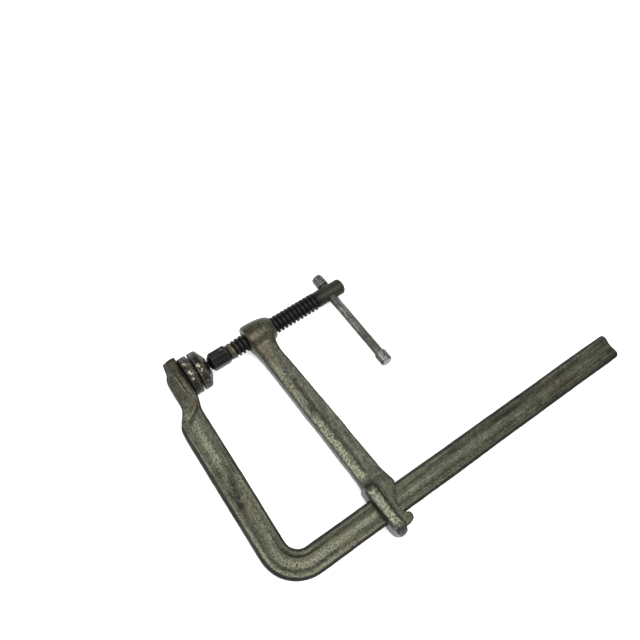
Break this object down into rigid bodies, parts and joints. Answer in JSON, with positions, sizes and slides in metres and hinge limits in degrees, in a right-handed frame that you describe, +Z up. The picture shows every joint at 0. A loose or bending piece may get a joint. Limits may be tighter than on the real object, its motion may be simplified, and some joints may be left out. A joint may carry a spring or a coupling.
{
  "type": "f clamp",
  "caption": "Heavy forged F clamp with an L-shaped rail and fixed arm, a sliding arm, a black screw spindle with sliding tommy bar, and a swivel pad.",
  "frame": {"origin": "centre of the fixed jaw's clamping face, on the spindle axis", "axes": "+X from the fixed jaw towards the spindle head, along the rail; +Y from the rail towards the jaws; +Z up out of the clamp's flat side as it lies on a bench"},
  "size_m": [0.368, 0.2293, 0.0453],
  "materials": {
    "forged_steel": "worn forged steel, greenish grey patina",
    "arm_steel": "worn drop-forged steel, brown stains near the boss",
    "scorched_steel": "dark, rough, scale and spatter",
    "black_steel": "black oxide, oily",
    "bar_steel": "handled bare steel"
  },
  "bodies": {
    "frame": {"frame": "forged_steel", "anvil_disc": "scorched_steel"},
    "sliding_arm": {"sliding_arm": "arm_steel"},
    "collar": {"collar": "black_steel", "collar_pin": "bar_steel"},
    "spindle": {"spindle": "black_steel"},
    "swivel_pad": {"swivel_pad": "scorched_steel"},
    "tommy_bar": {"tommy_bar": "bar_steel"}
  },
  "joints": [
    {"name": "arm_slide", "type": "slide", "parent": "frame", "child": "sliding_arm", "axis": [1, 0, 0], "range_m": [0, 0.24]},
    {"name": "spindle_advance", "type": "slide", "parent": "sliding_arm", "child": "collar", "axis": [1, 0, 0], "range_m": [0, 0.0165]},
    {"name": "spindle_turn", "type": "hinge", "parent": "collar", "child": "spindle", "pos_m": [0.05, 0, 0], "axis": [1, 0, 0], "range_deg": [0, 1440]},
    {"name": "pad_tilt", "type": "hinge", "parent": "collar", "child": "swivel_pad", "pos_m": [0.0084, 0, 0], "axis": [0, 0, 1], "range_deg": [-5, 5]},
    {"name": "tommy_bar_slide", "type": "slide", "parent": "spindle", "child": "tommy_bar", "axis": [0, 0.9646, -0.2639], "range_m": [0, 0.068]}
  ],
  "couplings": [
    {"joint": "spindle_advance", "follows": "spindle_turn", "m_per_rad": 0.00063662}
  ]
}
